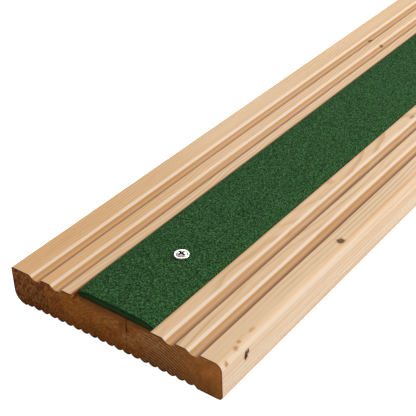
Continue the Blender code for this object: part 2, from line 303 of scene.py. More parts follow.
class Graph:
    """Adds nodes to a material or a node group, and links them."""

    def __init__(self, tree):
        self.tree = tree

    def add(self, kind, **settings):
        node = self.tree.nodes.new("ShaderNode" + kind)
        for name, value in settings.items():
            setattr(node, name, value)
        return node

    def feed(self, node, **inputs):
        """Links sockets, or sets plain values, by input name with _ for a space."""
        for name, value in inputs.items():
            self.plug(node.inputs[name.replace("_", " ")], value)
        return node

    def plug(self, socket, value):
        if isinstance(value, bpy.types.NodeSocket):
            self.tree.links.new(value, socket)
        else:
            socket.default_value = value

    def math(self, operation, first, second=0.0, third=0.0, clamp=False):
        node = self.add("Math", operation=operation, use_clamp=clamp)
        for socket, value in zip(node.inputs, (first, second, third)):
            self.plug(socket, value)
        return node.outputs[0]

    def times(self, first, *others):
        for other in others:
            first = self.math("MULTIPLY", first, other)
        return first

    def minus(self, first, second):
        return self.math("SUBTRACT", first, second)

    def mapped(self, vector, scale):
        node = self.add("Mapping")
        self.feed(node, Vector=vector, Scale=scale)
        return node.outputs[0]

    def noise(self, vector, scale, detail=2.0, roughness=0.5):
        node = self.add("TexNoise")
        self.feed(node, Vector=vector, Scale=scale, Detail=detail, Roughness=roughness)
        return node.outputs["Fac"]

    def steps(self, value, low, high, out_low=0.0, out_high=1.0):
        node = self.add("MapRange", interpolation_type="SMOOTHSTEP")
        self.feed(node, Value=value, From_Min=low, From_Max=high, To_Min=out_low, To_Max=out_high)
        return node.outputs[0]

    def cover(self, under, over, share):
        """Lays one colour over another by a share. Either may be a finish or a socket."""
        node = self.add("Mix", data_type="RGBA")
        self.plug(node.inputs[0], share)
        self.plug(node.inputs[6], opaque(under))
        self.plug(node.inputs[7], opaque(over))
        return node.outputs[2]

    def split(self, vector):
        node = self.add("SeparateXYZ")
        self.plug(node.inputs[0], vector)
        return node.outputs

    def group(self, group, **inputs):
        node = self.add("Group")
        node.node_tree = group
        self.feed(node, **inputs)
        return node.outputs


def opaque(colour):
    if isinstance(colour, bpy.types.NodeSocket):
        return colour
    return (*colour, 1.0)


def new_group(name, inputs, outputs):
    """An empty node group. inputs gives each socket's type and default, outputs each one's type."""
    group = bpy.data.node_groups.new(name, "ShaderNodeTree")
    for socket_name, (kind, default) in inputs.items():
        socket = group.interface.new_socket(socket_name, in_out="INPUT", socket_type=kind)
        if default is not None:
            socket.default_value = default
    for socket_name, kind in outputs.items():
        group.interface.new_socket(socket_name, in_out="OUTPUT", socket_type=kind)
    graph = Graph(group)
    start = group.nodes.new("NodeGroupInput")
    end = group.nodes.new("NodeGroupOutput")
    return group, graph, start.outputs, end.inputs


def mottle_group():
    """Soft uneven tone over a surface, with a finer grain inside it."""
    group, graph, given, result = new_group(
        "mottle",
        {"Vector": ("NodeSocketVector", None), "Coarse": ("NodeSocketFloat", 40.0),
         "Fine": ("NodeSocketFloat", 400.0), "Share of fine": ("NodeSocketFloat", 0.4)},
        {"Tone": "NodeSocketFloat"})
    coarse = graph.noise(given["Vector"], given["Coarse"], 3.0)
    fine = graph.noise(given["Vector"], given["Fine"], 2.0, 0.6)
    node = graph.add("Mix", data_type="FLOAT")
    graph.plug(node.inputs[0], given["Share of fine"])
    graph.plug(node.inputs[2], coarse)
    graph.plug(node.inputs[3], fine)
    graph.plug(result["Tone"], graph.steps(node.outputs[0], 0.34, 0.66))
    return group


def patch_group():
    """A soft-edged oval patch round a point, ragged by noise."""
    group, graph, given, result = new_group(
        "patch",
        {"Vector": ("NodeSocketVector", None), "Centre": ("NodeSocketVector", (0, 0, 0)),
         "Size": ("NodeSocketVector", (1, 1, 1)), "Raggedness": ("NodeSocketFloat", 0.5)},
        {"Mask": "NodeSocketFloat"})
    offset = graph.add("VectorMath", operation="SUBTRACT")
    graph.plug(offset.inputs[0], given["Vector"])
    graph.plug(offset.inputs[1], given["Centre"])
    scaled = graph.add("VectorMath", operation="DIVIDE")
    graph.plug(scaled.inputs[0], offset.outputs[0])
    graph.plug(scaled.inputs[1], given["Size"])
    far = graph.add("VectorMath", operation="LENGTH")
    graph.plug(far.inputs[0], scaled.outputs[0])
    wobble = graph.minus(graph.noise(scaled.outputs[0], 1.7, 2.0), 0.5)
    ragged = graph.math("MULTIPLY_ADD", wobble, given["Raggedness"], far.outputs["Value"])
    graph.plug(result["Mask"], graph.steps(ragged, 1.0, 0.70))
    return group


def new_material(name):
    material = bpy.data.materials.new(name)
    material.use_nodes = True
    graph = Graph(material.node_tree)
    shader = material.node_tree.nodes["Principled BSDF"]
    place = graph.add("TexCoord")
    return material, graph, shader, place


def add_bump(graph, shader, height, distance, strength=1.0):
    bump = graph.add("Bump")
    graph.feed(bump, Height=height, Distance=distance, Strength=strength)
    graph.plug(shader.inputs["Normal"], bump.outputs[0])


# Knots and marks on the planed wood: centre, size, strength and tone.
MARKS = (
    ((-0.0530, NEAR_END + 0.376, BOARD_TOP - 0.0012), (0.0020, 0.0030, 0.003), 0.80, "knot"),
    ((-0.0404, NEAR_END + 0.371, BOARD_TOP - 0.0012), (0.0016, 0.0022, 0.003), 0.65, "knot"),
    ((0.0672, NEAR_END + 0.1235, BOARD_TOP), (0.0026, 0.0028, 0.002), 0.85, "knot"),
    ((0.0296, NEAR_END + 0.1745, BOARD_TOP), (0.0026, 0.0032, 0.002), 0.35, "resin"),
    ((0.0335, NEAR_END + 0.2775, BOARD_TOP), (0.0016, 0.0030, 0.002), 0.45, "knot"),
    ((0.0725, NEAR_END + 0.0206, BOARD_TOP - 0.0084), (0.0035, 0.0016, 0.0032), 1.00, "knot"),
    ((0.0732, NEAR_END + 0.0225, BOARD_TOP - 0.0068), (0.0035, 0.0010, 0.0020), 0.90, "knot"),
    ((0.0703, NEAR_END + 0.0150, BOARD_TOP), (0.0013, 0.0017, 0.002), 0.90, "resin"),
    ((0.0690, NEAR_END + 0.0195, BOARD_TOP), (0.0010, 0.0013, 0.002), 0.85, "resin"),
    ((0.0690, NEAR_END + 0.0310, BOARD_TOP), (0.0009, 0.0024, 0.002), 0.60, "resin"),
    ((0.0722, NEAR_END + 0.0045, BOARD_TOP - 0.0025), (0.0018, 0.0013, 0.0016), 0.90, "resin"),
    ((-0.0500, NEAR_END + 0.640, BOARD_TOP), (0.0042, 0.0055, 0.003), 0.70, "knot"),
    ((0.0560, NEAR_END + 0.760, BOARD_TOP - 0.0010), (0.0030, 0.0042, 0.003), 0.85, "knot"),
)

# Paler patches in the stain of the sawn end: centre, size and strength.
PALE_PATCHES = (
    ((0.0125, NEAR_END, 0.0115), (0.0055, 0.010, 0.0050), 0.60),
    ((0.0280, NEAR_END, 0.0165), (0.0120, 0.010, 0.0060), 0.55),
    ((-0.0240, NEAR_END, 0.0228), (0.0034, 0.010, 0.0015), 0.60),
    ((-0.0020, NEAR_END, 0.0170), (0.0100, 0.010, 0.0045), 0.25),
    ((-0.0560, NEAR_END, 0.0120), (0.0075, 0.010, 0.0070), 0.25),
)

# Rounded corners of the board's outline: corner across, corner up, and radius.
CORNERS = ((-1, -1, 0.0075), (1, -1, 0.0030), (-1, 1, 0.0012), (1, 1, 0.0045))


def outline_group(sizes):
    """How deep a point of the end lies inside the board's outline."""
    group, graph, given, result = new_group(
        "outline", {"Vector": ("NodeSocketVector", None)}, {"Depth": "NodeSocketFloat"})
    x, y, z = graph.split(given["Vector"])
    nearest = 1.0
    for across, up, radius in CORNERS:
        middle_x = across * (BOARD_WIDTH / 2 - radius)
        middle_z = radius if up < 0 else BOARD_TOP - radius
        out_x = graph.math("MAXIMUM", graph.times(graph.minus(x, middle_x), across), 0.0)
        out_z = graph.math("MAXIMUM", graph.times(graph.minus(z, middle_z), up), 0.0)
        reach = graph.math("SQRT", graph.math("ADD", graph.times(out_x, out_x),
                                              graph.times(out_z, out_z)))
        nearest = graph.math("MINIMUM", graph.minus(radius, reach), nearest)
    rib_start = BOARD_LOW.x + sizes.left_pad
    turn = graph.math("DIVIDE", graph.minus(x, rib_start), sizes.rib_pitch)
    offset = graph.math("MULTIPLY_ADD", graph.math("FRACT", turn), 2.0, -1.0)
    crest = graph.math("MULTIPLY_ADD", graph.times(offset, offset), sizes.rib_height,
                       sizes.rib_recess)
    over_ribs = graph.times(graph.math("GREATER_THAN", turn, 0.0),
                            graph.math("LESS_THAN", turn, float(sizes.rib_count)))
    ribs = graph.minus(z, graph.times(crest, over_ribs))
    graph.plug(result["Depth"], graph.math("MINIMUM", nearest, ribs))
    return group


class SoftwoodLook:
    """Planed wood with its grooves and marks, and the stained sawn ends."""

    def __init__(self, finish, sizes, mottle, patch):
        self.material, graph, self.shader, place = new_material("planed_softwood")
        self.graph = graph
        self.finish = finish
        self.sizes = sizes
        self.patch = patch
        self.spot = place.outputs["Object"]
        self.x, self.y, self.z = graph.split(self.spot)
        self.facing = graph.split(place.outputs["Normal"])
        self.depth = graph.minus(BOARD_TOP, self.z)
        self.off_middle = graph.math("ABSOLUTE", graph.minus(self.x, STRIP_MIDDLE))
        self.on_right = graph.math("GREATER_THAN", self.x, 0.0)
        self.on_end = graph.steps(graph.math("ABSOLUTE", self.facing[1]), 0.35, 0.75)
        # Fibres run along the length.
        self.fine = self.grain((2100, 45, 2100), 2.0, 0.6)
        self.streak = self.grain((520, 6, 520), 3.0, 0.55)
        self.broad = self.grain((120, 2.5, 120), 2.0)
        self.cloudy = graph.group(mottle, Vector=graph.mapped(self.spot, (1, 0.25, 1)),
                                  Coarse=60.0, Fine=420.0)["Tone"]
        self.pores = graph.noise(graph.mapped(self.spot, (1, 0.2, 1)), 1700.0, 2.0, 0.7)
        self.rays = self.grain((700, 60, 160), 3.0, 0.6)
        self.stain = graph.noise(self.spot, 95.0, 4.0, 0.62)
        self.ring, self.late = self.growth_rings()

    def grain(self, scale, detail, roughness=0.5):
        return self.graph.noise(self.graph.mapped(self.spot, scale), 1.0, detail, roughness)

    def growth_rings(self):
        """Rings round a pith below the board, which wanders along the length."""
        graph = self.graph
        wander = graph.minus(self.grain((4.0, 7.0, 4.0), 2.0, 0.45), 0.5)
        wander = graph.times(wander, PITH_WANDER)
        aside = graph.math("ADD", graph.minus(self.x, PITH_X), wander)
        above = graph.minus(graph.math("ADD", self.z, PITH_DEPTH), wander)
        radius = graph.math("SQRT", graph.math("ADD", graph.times(aside, aside),
                                               graph.times(above, above)))
        ring = graph.math("FRACT", graph.math("DIVIDE", radius, RING_WIDTH))
        return ring, graph.times(graph.steps(ring, 0.50, 0.86), graph.steps(ring, 1.0, 0.93))

    def planed(self):
        """Heartwood on the left, sapwood towards the right edge and down the right side."""
        graph, finish = self.graph, self.finish
        wood = graph.cover(finish.heartwood, finish.land, graph.steps(self.x, -0.043, -0.031))
        to_right = graph.math("ADD", graph.steps(self.x, 0.030, 0.080, 0.0, 0.60),
                              graph.steps(self.broad, 0.35, 0.65, -0.2, 0.25), clamp=True)
        wood = graph.cover(wood, finish.sapwood, to_right)
        along = graph.steps(self.y, NEAR_END + 0.02, NEAR_END + 0.24, 0.0, 0.75)
        wood = graph.cover(wood, finish.sapwood, along)
        side = graph.steps(self.facing[0], 0.55, 0.9)
        wood = graph.cover(wood, finish.side_wood, graph.times(side, 0.50))
        dull = graph.math("MULTIPLY_ADD", self.broad, 0.5, graph.times(self.streak, 0.5))
        dull = graph.steps(dull, 0.44, 0.60)
        wood = graph.cover(wood, finish.heartwood, graph.times(dull, 0.50))
        patchy = graph.steps(self.grain((45, 6, 45), 2.0), 0.34, 0.62, 0.03, 0.55)
        off_side = graph.math("MULTIPLY_ADD", side, -0.65, 1.0)
        wood = graph.cover(wood, finish.latewood, graph.times(self.late, patchy, off_side))
        wood = graph.cover(wood, finish.latewood, graph.steps(self.fine, 0.58, 0.74, 0.0, 0.34))
        return graph.cover(wood, finish.sapwood, graph.steps(self.fine, 0.42, 0.28, 0.0, 0.30))

    def grooved(self, wood):
        """Tones across each groove, laid on by distance from the groove's left edge: a pale
        shoulder with a painted highlight, an orange slope, a floor with painted shade and a painted
        shadow at the riser's foot.
        """
        graph, finish, sizes = self.graph, self.finish, self.sizes
        starts = groove_starts(sizes)
        pitch = sizes.groove_width + sizes.land_width
        across_strip = starts[sizes.grooves_per_side] - starts[0]
        first = graph.math("MULTIPLY_ADD", self.on_right, across_strip, starts[0])
        share_in = graph.math("FRACT", graph.math("DIVIDE", graph.minus(self.x, first), pitch))
        place_in = graph.times(share_in, pitch)
        in_groove = graph.times(
            graph.math("LESS_THAN", graph.math("ABSOLUTE", self.x), BOARD_WIDTH / 2 - 0.0125),
            graph.math("GREATER_THAN", self.off_middle, STRIP_HALF + 0.003),
            graph.math("LESS_THAN", self.depth, 0.006))
        # Each band: where it starts, is full, fades and ends, and its share by streak.
        bands = (
            # The shoulder band carries a painted highlight, the floor band painted shade, and the
            # band after it a painted shadow at the riser's foot.
            (finish.pale_shoulder_and_highlight, 0.0008, 0.0010, 0.0021, 0.0023, 0.70, 1.00),
            (finish.groove_floor_and_shade, 0.0034, 0.0044, 0.0092, 0.0096, 0.50, 0.85),
            (finish.riser_painted_shadow, 0.0048, 0.0068, 0.0090, 0.0095, 0.90, 0.55),
            (finish.resin, 0.0023, 0.0026, 0.0036, 0.0043, 0.65, 1.00),
        )
        for tone, start, full, fade, end, low, high in bands:
            band = graph.times(graph.steps(place_in, start, full), in_groove,
                               graph.steps(place_in, end, fade),
                               graph.steps(self.streak, 0.3, 0.7, low, high))
            wood = graph.cover(wood, tone, band)
        return wood

    def rebate_edge_tones(self, wood):
        """Orange along the right edge of the rebate, and a brown painted shadow of the strip along
        the left.
        """
        graph, finish = self.graph, self.finish
        rim = STRIP_HALF + self.sizes.rebate_clearance
        right_edge_band = graph.steps(self.off_middle, rim + 0.0016, rim + 0.0003)
        wood = graph.cover(wood, finish.resin, graph.times(right_edge_band, self.on_right, 0.55))
        # Painted shadow: brown where the strip's shadow falls on the land beside the rebate's left
        # edge.
        strip_painted_shadow = graph.steps(self.off_middle, rim + 0.0011, rim + 0.0005)
        on_left = graph.minus(1.0, self.on_right)
        return graph.cover(wood, finish.strip_painted_shadow, graph.times(strip_painted_shadow, on_left, 0.85))

    def patch_mask(self, centre, size, raggedness):
        return self.graph.group(self.patch, Vector=self.spot, Centre=centre, Size=size,
                                Raggedness=raggedness)["Mask"]

    def marked(self, wood):
        """Knots and resin marks, each with a faint halo."""
        graph, finish = self.graph, self.finish
        for centre, size, strength, tone in MARKS:
            halo = self.patch_mask(centre, tuple(1.5 * side for side in size), 1.2)
            wood = graph.cover(wood, finish.latewood, graph.times(halo, 0.28 * strength))
            mark = self.patch_mask(centre, size, 1.0)
            wood = graph.cover(wood, getattr(finish, tone), graph.times(mark, strength))
        return wood

    def sawn(self):
        """End grain: uneven stain, rings, rays, pores, a dark rim and the crack."""
        graph, finish, x, z = self.graph, self.finish, self.x, self.z
        end = graph.cover(finish.end_dark, finish.end_grain,
                          graph.steps(self.stain, 0.32, 0.54, 0.35, 1.0))
        end = graph.cover(end, finish.end_dark, graph.steps(z, 0.013, 0.002, 0.0, 0.35))
        smudge = self.grain((240, 60, 420), 3.0, 0.65)
        end = graph.cover(end, finish.end_dark, graph.steps(smudge, 0.54, 0.72, 0.0, 0.40))
        end = graph.cover(end, finish.end_pale, graph.steps(smudge, 0.44, 0.28, 0.0, 0.55))
        end = graph.cover(end, finish.end_pale, graph.steps(x, -0.005, 0.045, 0.0, 0.20))
        for centre, size, strength in PALE_PATCHES:
            pale = self.patch_mask(centre, size, 1.4)
            end = graph.cover(end, finish.end_pale, graph.times(pale, strength))
        clear = graph.times(graph.steps(x, 0.014, 0.030), graph.steps(x, 0.062, 0.044),
                            graph.steps(self.stain, 0.36, 0.56, 0.35, 1.0))
        elsewhere = graph.steps(graph.noise(self.spot, 150.0, 2.0), 0.42, 0.62, 0.04, 0.45)
        ring_share = graph.math("MULTIPLY_ADD", clear, 0.75, elsewhere, clamp=True)
        end = graph.cover(end, finish.ring_line, graph.times(self.late, ring_share))
        spring = graph.times(graph.steps(self.ring, 0.02, 0.15),
                             graph.steps(self.ring, 0.55, 0.35))
        end = graph.cover(end, finish.spring_ring, graph.times(spring, clear, 0.60))
        end = graph.cover(end, finish.end_pale, graph.steps(self.rays, 0.52, 0.76, 0.0, 0.35))
        specks = graph.noise(graph.mapped(self.spot, (1, 0.1, 0.45)), 1100.0, 1.0)
        specks = graph.times(graph.steps(x, -0.030, -0.050), graph.steps(specks, 0.52, 0.62), 0.9)
        open_pores = graph.times(graph.steps(self.pores, 0.56, 0.74), 0.45)
        end = graph.cover(end, finish.pore, graph.math("MAXIMUM", specks, open_pores))
        inside = graph.group(outline_group(self.sizes), Vector=self.spot)["Depth"]
        ragged = graph.math("MULTIPLY_ADD", graph.noise(self.spot, 520.0, 2.0), 0.0016, inside)
        rim = graph.times(graph.steps(ragged, 0.0024, 0.0013),
                          graph.steps(x, 0.030, 0.062, 0.85, 0.35))
        end = graph.cover(end, finish.end_rim, rim)
        # Painted shade: a near-black line along the crack, where its narrow opening lies in shadow.
        drawn = graph.math("MULTIPLY_ADD", graph.minus(self.y, NEAR_END), CRACK_SKEW, x)
        off_crack = graph.math("ABSOLUTE", graph.minus(drawn, CRACK_X))
        crack = graph.times(graph.steps(off_crack, 0.0005, 0.0002),
                            graph.steps(z, CRACK_FOOT - 0.0009, CRACK_FOOT + 0.0001), 0.9)
        return graph.cover(end, finish.crack, crack)

    def stained(self, wood, end):
        """The stain covers the sawn ends and the bare rebate floor next to them. Painted shade
        darkens the rebate and its gaps away from the ends, and the stained floor is painted lighter
        where the strip's shadow falls on it.
        """
        graph, finish = self.graph, self.finish
        out = graph.minus(BOARD_HIGH.y, graph.math("ABSOLUTE", self.y))
        near_end = graph.steps(out, STAIN_REACH + 0.0025, STAIN_REACH)
        half = STRIP_HALF + self.sizes.rebate_clearance + 0.0003
        rebate = graph.times(graph.steps(self.depth, 0.0001, 0.0003),
                             graph.math("LESS_THAN", self.off_middle, half))
        # Painted shade: the rebate floor and the gaps beside the strip are darkened, away from the
        # ends.
        gap = graph.times(rebate, graph.minus(1.0, near_end), 0.80)
        wood = graph.cover(wood, finish.gap_painted_shade, gap)
        # Painted light: the stained floor in front of the strip, inside the strip's shadow, is made
        # lighter.
        left = LAMINATE_LOW.x
        painted_light_share = graph.times(graph.minus(1.0, self.on_end),
                             graph.steps(self.x, left + 0.0005, left + 0.0035), 0.55)
        end = graph.cover(end, finish.stain_with_painted_light, painted_light_share)
        cover = graph.math("MAXIMUM", self.on_end, graph.times(near_end, rebate))
        return graph.cover(wood, end, cover)

    def relief(self):
        graph = self.graph
        raised = graph.math("MULTIPLY_ADD", self.late, 0.5, graph.times(self.fine, 0.7))
        sawn = graph.math("MULTIPLY_ADD", self.pores, 0.8, graph.times(self.rays, 0.6))
        height = graph.add("Mix", data_type="FLOAT")
        graph.plug(height.inputs[0], self.on_end)
        graph.plug(height.inputs[2], raised)
        graph.plug(height.inputs[3], sawn)
        add_bump(graph, self.shader, height.outputs[0], 0.00022, 0.6)

    def build(self):
        wood = self.marked(self.rebate_edge_tones(self.grooved(self.planed())))
        self.graph.feed(self.shader, Base_Color=self.stained(wood, self.sawn()))
        self.graph.feed(self.shader, Roughness=self.graph.steps(self.cloudy, 0.0, 1.0, 0.58, 0.74))
        self.shader.inputs["Specular IOR Level"].default_value = 0.08
        self.relief()
        return self.material


def grit_material(finish, mottle):
    material, graph, shader, place = new_material("grit_coat")
    spot = place.outputs["Object"]
    facing = graph.split(place.outputs["Normal"])
    cells = graph.add("TexVoronoi", feature="F1")
    graph.feed(cells, Vector=spot, Scale=1150.0, Randomness=1.0)
    tint = graph.split(cells.outputs["Color"])[0]
    coarse = graph.noise(spot, 1300.0, 2.0, 0.6)
    tone = graph.group(mottle, Vector=spot, Coarse=22.0, Fine=260.0)["Tone"]
    base = graph.cover(finish.grit_base, finish.grit, graph.steps(tone, 0.0, 1.0, 0.35, 0.75))
    base = graph.cover(base, finish.grit_light, graph.steps(coarse, 0.52, 0.65))
    base = graph.cover(base, finish.grit_dark, graph.steps(coarse, 0.50, 0.38))
    flecks = graph.times(graph.math("GREATER_THAN", tint, 0.95),
                         graph.steps(cells.outputs["Distance"], 0.45, 0.15), 0.55)
    base = graph.cover(base, finish.grit_fleck, flecks)
    # Fewer pale grains show on the sawn face at each end.
    sawn = graph.steps(graph.math("ABSOLUTE", facing[1]), 0.5, 0.85)
    base = graph.cover(base, finish.laminate, graph.times(sawn, 0.75))
    graph.feed(shader, Base_Color=base, Roughness=graph.steps(tint, 0.0, 1.0, 0.70, 0.95))
    shader.inputs["Specular IOR Level"].default_value = 0.04
    add_bump(graph, shader, graph.math("ADD", coarse, graph.times(tint, 0.4)), 0.0004, 0.7)
    return material


def laminate_material(finish, mottle):
    material, graph, shader, place = new_material("laminate_sheet")
    spot = place.outputs["Object"]
    tone = graph.group(mottle, Vector=spot, Coarse=120.0, Fine=900.0)["Tone"]
    plies = graph.noise(graph.mapped(spot, (60, 60, 2600)), 1.0, 2.0)
    base = graph.cover(finish.laminate, finish.laminate_light, tone)
    base = graph.cover(base, finish.laminate_ply, graph.steps(plies, 0.50, 0.72, 0.0, 0.4))
    graph.feed(shader, Base_Color=base, Roughness=graph.steps(tone, 0.0, 1.0, 0.42, 0.62))
    shader.inputs["Specular IOR Level"].default_value = 0.20
    add_bump(graph, shader, plies, 0.00012, 0.6)
    return material


def steel_material(finish, mottle):
    material, graph, shader, place = new_material("turned_stainless")
    spot = place.outputs["Object"]
    tone = graph.group(mottle, Vector=spot, Coarse=500.0, Fine=2400.0)["Tone"]
    turned = graph.noise(graph.mapped(spot, (300, 300, 9000)), 1.0, 2.0)
    base = graph.cover(finish.steel, finish.steel_dull, graph.steps(tone, 0.0, 1.0, 0.0, 0.35))
    graph.feed(shader, Base_Color=base, Roughness=graph.steps(tone, 0.0, 1.0, 0.24, 0.36))
    shader.inputs["Metallic"].default_value = 1.0
    add_bump(graph, shader, turned, 0.00003, 0.5)
    return material


def dirt_and_shade_material(finish, mottle):
    """Oil and dirt in the cross recess and on the washer's seat, and painted shade there: the
    recess and the gap round each head are made near-black.
    """
    material, graph, shader, place = new_material("dirt_and_shade_coat")
    tone = graph.group(mottle, Vector=place.outputs["Object"], Coarse=900.0,
                       Fine=4000.0)["Tone"]
    base = graph.cover(finish.recess_dirt_and_shade, finish.recess_dirt_and_shade_pale, tone)
    graph.feed(shader, Base_Color=base, Roughness=graph.steps(tone, 0.0, 1.0, 0.55, 0.85))
    shader.inputs["Specular IOR Level"].default_value = 0.15
    add_bump(graph, shader, tone, 0.00004, 0.6)
    return material


# ---------------------------------------------------------------- pieces

def groove_starts(sizes):
    """The left end of every groove, from left to right."""
    rebate_half = STRIP_HALF + sizes.rebate_clearance
    pitch = sizes.groove_width + sizes.land_width
    starts = []
    for number in range(sizes.grooves_per_side):
        inner = rebate_half + sizes.inner_land + number * pitch
        starts.append(STRIP_MIDDLE + inner)
        starts.append(STRIP_MIDDLE - inner - sizes.groove_width)
    return sorted(starts)


def groove_drop(sizes, along):
    """How far the surface lies below the land at a distance into a groove."""
    if along < sizes.shoulder_width:
        return sizes.groove_depth * (1 - math.cos(math.pi * along / sizes.shoulder_width)) / 2
    left = sizes.groove_width - along
    if left < sizes.riser_width:
        return sizes.groove_depth * (1 - math.cos(math.pi * left / sizes.riser_width)) / 2
    return sizes.groove_depth


def rib_rise(sizes, x):
    """How far the underside lies above the pads at x, over the ribs."""
    start = BOARD_LOW.x + sizes.left_pad
    along = x - start
    foot = sizes.rib_recess + sizes.rib_height
    total = sizes.rib_count * sizes.rib_pitch
    if along <= TINY:
        return 0.0
    if along > total:
        return max(0.0, foot - (along - total))
    half = sizes.rib_pitch / 2
    offset = along % sizes.rib_pitch - half
    radius = (half ** 2 + sizes.rib_height ** 2) / (2 * sizes.rib_height)
    return sizes.rib_recess + radius - math.sqrt(radius ** 2 - offset ** 2)


def top_stations(sizes):
    """Every X at which the top needs a row of vertices for the grooves."""
    stations = set()
    flat = sizes.groove_width - sizes.shoulder_width - sizes.riser_width
    for start in groove_starts(sizes):
        for step in range(9):
            stations.add(start + sizes.shoulder_width * step / 8)
        for step in range(1, 5):
            stations.add(start + sizes.shoulder_width + flat * step / 5)
        for step in range(5):
            stations.add(start + sizes.groove_width - sizes.riser_width * step / 4)
    return stations


def underside_stations(sizes):
    """Every X at which the underside needs a row of vertices for the ribs and the pads."""
    rib_start = BOARD_LOW.x + sizes.left_pad
    rib_end = rib_start + sizes.rib_count * sizes.rib_pitch
    stations = {rib_end, rib_end + sizes.rib_recess + sizes.rib_height}
    for number in range(sizes.rib_count):
        for step in range(6):
            stations.add(rib_start + (number + step / 6) * sizes.rib_pitch)
    right_step = 0.0022
    left_step = 0.0012
    for step in range(1, 7):
        stations.add(rib_end + right_step + right_step * step)
        stations.add(rib_start - left_step * step)
    return stations


class DECK_OT_board(bpy.types.Operator):
    """Models the grooved, reeded softwood board"""

    bl_idname = "deck.board"
    bl_label = "Deck board"

    def execute(self, context):
        sizes = context.scene.deck_board_sizes
        board = add_block("grooved_board", BOARD_LOW, BOARD_HIGH)
        middle = BOARD_TOP / 2
        near_edge = middle - 0.001
        for side, up, radius in CORNERS:
            pick(board, "EDGE", lambda e: all(
                abs(v.co.x - side * BOARD_WIDTH / 2) < TINY
                and (v.co.z - middle) * up > near_edge for v in e.verts))
            bpy.ops.mesh.bevel(offset=radius, segments=6, affect="EDGES")
        slice_at(sorted(top_stations(sizes) | underside_stations(sizes)), 0)

        # Stations down each side, for the grain's relief.
        slice_at([0.0045 + 0.0024 * step for step in range(7)], 2)

        # The rebate: two near-upright walls, then the floor goes down.
        rebate_half = STRIP_HALF + sizes.rebate_clearance
        walls = [STRIP_MIDDLE - rebate_half, STRIP_MIDDLE + rebate_half]
        lean = 0.00005
        slice_at([walls[0], walls[0] + lean, walls[1] - lean, walls[1]], 0)

        def on_top(v):
            return v.co.z > BOARD_TOP - TINY

        def top_height(x):
            if walls[0] + lean * 0.8 < x < walls[1] - lean * 0.8:
                return -sizes.rebate_depth
            for start in groove_starts(sizes):
                if start < x < start + sizes.groove_width:
                    return -groove_drop(sizes, x - start)
            return 0.0

        lift(board, on_top, top_height)
        lift(board, lambda v: v.co.z < TINY, lambda x: rib_rise(sizes, x))

        # Rows along the length, then each row halved.
        pick(board, "EDGE", lambda e: abs(e.verts[0].co.y - e.verts[1].co.y) > 0.5)
        bpy.ops.mesh.subdivide(number_cuts=99)
        pick(board, "EDGE", lambda e: abs(e.verts[0].co.y - e.verts[1].co.y) > 0.005)
        bpy.ops.mesh.subdivide(number_cuts=1)
        finish_edit()

        # Raised grain: the relief is long and narrow, so it is made on a shortened board. The two
        # end faces stay as they are.
        between_ends = board.vertex_groups.new(name="between_ends")
        ends = [BOARD_LOW.y + TINY, BOARD_HIGH.y - TINY]
        inner = [v.index for v in board.data.vertices if ends[0] < v.co.y < ends[1]]
        between_ends.add(inner, 1.0, "REPLACE")
        shrink = Matrix.Scale(1 / 30, 4, (0, 1, 0))
        board.data.transform(shrink)
        displace(board, clouds("raised_grain", 0.0016), sizes.relief, "Z", "between_ends")
        displace(board, clouds("side_grain", 0.0020), sizes.relief, "X", "between_ends")
        board.data.transform(shrink.inverted())
        board.vertex_groups.clear()
        self.split_end(board)
        smooth_by_angle(board, 38)
        finish = context.scene.deck_finishes
        material = SoftwoodLook(finish, sizes, bpy.data.node_groups["mottle"],
                                bpy.data.node_groups["patch"]).build()
        hand_over(board, material, "deck_board")
        return {"FINISHED"}

    @staticmethod
    def split_end(board):
        """A drying crack opens the near end under the strip."""
        foot = CRACK_FOOT
        half_gap = 0.00018
        reach = 0.007
        wedge = add_block("crack_cutter", Vector((CRACK_X - half_gap, NEAR_END - 0.001, foot)),
                          Vector((CRACK_X + half_gap, NEAR_END + reach, BOARD_TOP)))
        slice_at([foot + 0.002 * step for step in range(1, 4)], 2)
        # It closes towards the back and the foot, and bends a little on its way up.
        pick(wedge, "VERT", lambda v: v.co.y > NEAR_END + reach - 0.001)
        bpy.ops.transform.resize(value=(0.1, 1.0, 1.0), center_override=(CRACK_X, 0, 0))
        bpy.ops.transform.translate(value=(-reach * CRACK_SKEW, 0.0, 0.0))
        pick(wedge, "VERT", lambda v: v.co.z < foot + TINY)
        bpy.ops.transform.resize(value=(0.15, 1.0, 1.0), center_override=(CRACK_X, 0, 0))
        pick(wedge, "VERT", lambda v: foot + 0.001 < v.co.z < foot + 0.005)
        bpy.ops.transform.translate(value=(0.00022, 0.0, 0.0))
        finish_edit()
        cut = board.modifiers.new("crack", "BOOLEAN")
        cut.operation = "DIFFERENCE"
        cut.object = wedge
        apply_modifiers(board)
        bpy.data.objects.remove(wedge)


def strip_rise(sizes, x, edge, full):
    """Thickness of a layer of the strip at x, between its edge and its full thickness."""
    inset = STRIP_HALF - abs(x - STRIP_MIDDLE)
    share = min(1.0, max(0.0, inset / sizes.bevel_width))
    eased = share * (1.6 - 0.6 * share)
    return edge + (full - edge) * min(1.0, eased)


def trim_near_end(piece):
    """The strip's near end is cut a little out of square, and its left corner is worn in."""
    reach = 0.020
    out_of_square = 0.0011
    corner_wear = 0.0015
    for vertex in piece.data.vertices:
        back = vertex.co.y - LAMINATE_LOW.y
        if back > reach:
            continue
        fade = (1 - max(0.0, back) / reach) ** 1.5
        across = (vertex.co.x - LAMINATE_LOW.x) / (2 * STRIP_HALF)
        corner = max(0.0, 1 - across * 4)
        vertex.co.y -= fade * out_of_square * across
        vertex.co.x += fade * corner_wear * corner


